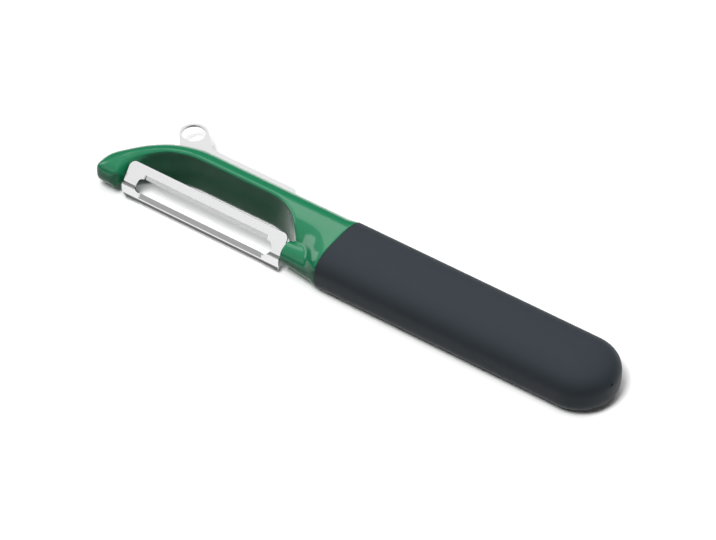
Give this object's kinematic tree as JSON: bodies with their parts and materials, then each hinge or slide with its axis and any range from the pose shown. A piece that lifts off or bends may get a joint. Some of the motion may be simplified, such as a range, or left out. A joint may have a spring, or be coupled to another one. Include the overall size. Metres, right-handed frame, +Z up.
{
  "type": "vegetable peeler",
  "caption": "Straight vegetable peeler: soft-grip handle running into a bow-shaped head, with a slotted blade that swivels on its pivots and a flat ring for digging out eyes",
  "frame": {"origin": "on the flat underside of the grip, halfway along the grip and on the handle's centre line", "axes": "+X runs along the handle towards the rounded butt, +Z is up from the table it lies on, +Y is the side away from the blade"},
  "size_m": [0.1895, 0.038, 0.0152],
  "materials": {
    "grip": "soft-touch matte slate",
    "head": "glossy moulded green",
    "blade": "bright rolled stainless strip with ground edges",
    "pin": "plain drawn stainless wire",
    "eye_plate": "stamped stainless plate"
  },
  "bodies": {
    "handle": {"head_frame": "head", "grip_sleeve": "grip", "neck_pivot_pin": "pin", "tip_pivot_pin": "pin", "eye_remover": "eye_plate"},
    "blade": {"swivel_blade": "blade"}
  },
  "joints": [
    {"name": "blade_swivel", "type": "hinge", "parent": "handle", "child": "blade", "pos_m": [-0.1, -0.008, 0.00755], "axis": [1, 0, 0], "range_deg": [-6, 66]}
  ]
}
